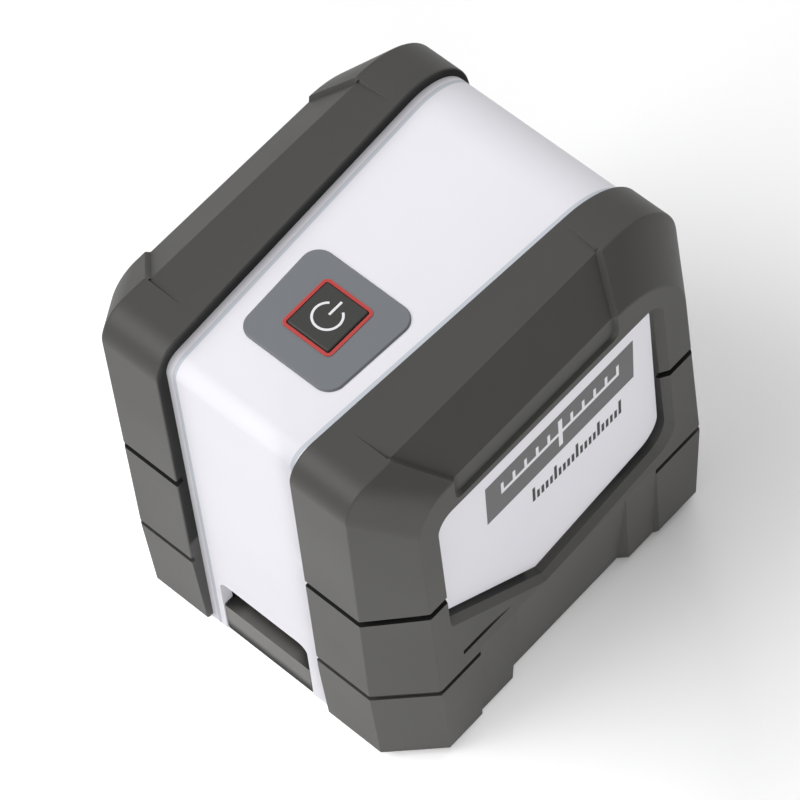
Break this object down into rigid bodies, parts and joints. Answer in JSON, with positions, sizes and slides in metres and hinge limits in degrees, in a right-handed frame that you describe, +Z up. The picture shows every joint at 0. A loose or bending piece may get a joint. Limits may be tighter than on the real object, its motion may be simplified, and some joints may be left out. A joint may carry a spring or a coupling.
{
  "type": "laser level",
  "caption": "Boxy self-levelling cross-line laser level with rubber bumpers, a push button, a hinged battery door, a tripod thread and a gimballed pendulum inside.",
  "frame": {"origin": "under the middle of the tool, on the surface that it stands on", "axes": "+Z up, +Y the way the beams leave through the front window, +X to the right bumper"},
  "size_m": [0.066, 0.0754, 0.084],
  "materials": {
    "white_plastic": "satin",
    "rubber": "matte",
    "grey_plastic": "satin",
    "red_plastic": "satin",
    "black_plastic": "matte",
    "base_plastic": "matte",
    "door_plastic": "matte",
    "board": "satin",
    "steel": "satin",
    "nickel": "polished",
    "brass": "satin",
    "copper": "satin",
    "cell_can": "gloss",
    "aluminium": "satin",
    "anodised": "matte",
    "glass": "polished"
  },
  "bodies": {
    "case": {"main_shell": "white_plastic", "side_cover_right": "white_plastic", "side_cover_left": "white_plastic", "bumper_right": "rubber", "bumper_left": "rubber", "window_gasket": "rubber", "button_plate": "grey_plastic", "indicator_ring": "red_plastic", "tact_switch": "black_plastic", "window_bezel": "black_plastic", "base": "base_plastic", "main_board": "board", "switch_board": "board", "case_screws": "steel", "hinge_pin": "steel", "upper_contact_left": "steel", "upper_contact_right": "steel", "switch_board_screws": "steel", "main_board_screws": "steel", "frame_screws": "steel", "pitch_bearings": "steel", "magnet_plate": "steel", "damper_magnets": "nickel", "tripod_insert": "brass", "tilt_contact": "brass", "cell_left": "cell_can", "cell_right": "cell_can", "gimbal_frame": "aluminium", "window_glass": "glass"},
    "button": {"button_cap": "black_plastic", "switch_plunger": "black_plastic"},
    "door": {"battery_door": "door_plastic", "door_contact": "steel"},
    "gimbal": {"gimbal_ring": "aluminium", "pitch_pins": "steel", "roll_pins": "steel"},
    "pendulum": {"pendulum_body": "aluminium", "roll_bearings": "steel", "balance_screws": "brass", "set_screws": "steel", "damper_disc": "copper", "disc_screw": "steel", "laser_barrel_level": "brass", "laser_diode_level": "brass", "collimator_level": "glass", "rod_lens_level": "glass", "lens_cap_level": "anodised", "laser_barrel_plumb": "brass", "laser_diode_plumb": "brass", "collimator_plumb": "glass", "rod_lens_plumb": "glass", "lens_cap_plumb": "anodised"}
  },
  "joints": [
    {"name": "button_press", "type": "slide", "parent": "case", "child": "button", "axis": [0, 0, -1], "range_m": [0, 0.0008], "stiffness_N_per_m": 1500},
    {"name": "door_hinge", "type": "hinge", "parent": "case", "child": "door", "pos_m": [0, -0.0112, 0.002], "axis": [1, 0, 0], "range_deg": [0, 100]},
    {"name": "pitch_axis", "type": "hinge", "parent": "case", "child": "gimbal", "pos_m": [0, 0.009, 0.0596], "axis": [1, 0, 0], "range_deg": [-4, 4]},
    {"name": "roll_axis", "type": "hinge", "parent": "gimbal", "child": "pendulum", "pos_m": [0, 0.009, 0.0596], "axis": [0, 1, 0], "range_deg": [-4, 4]}
  ]
}
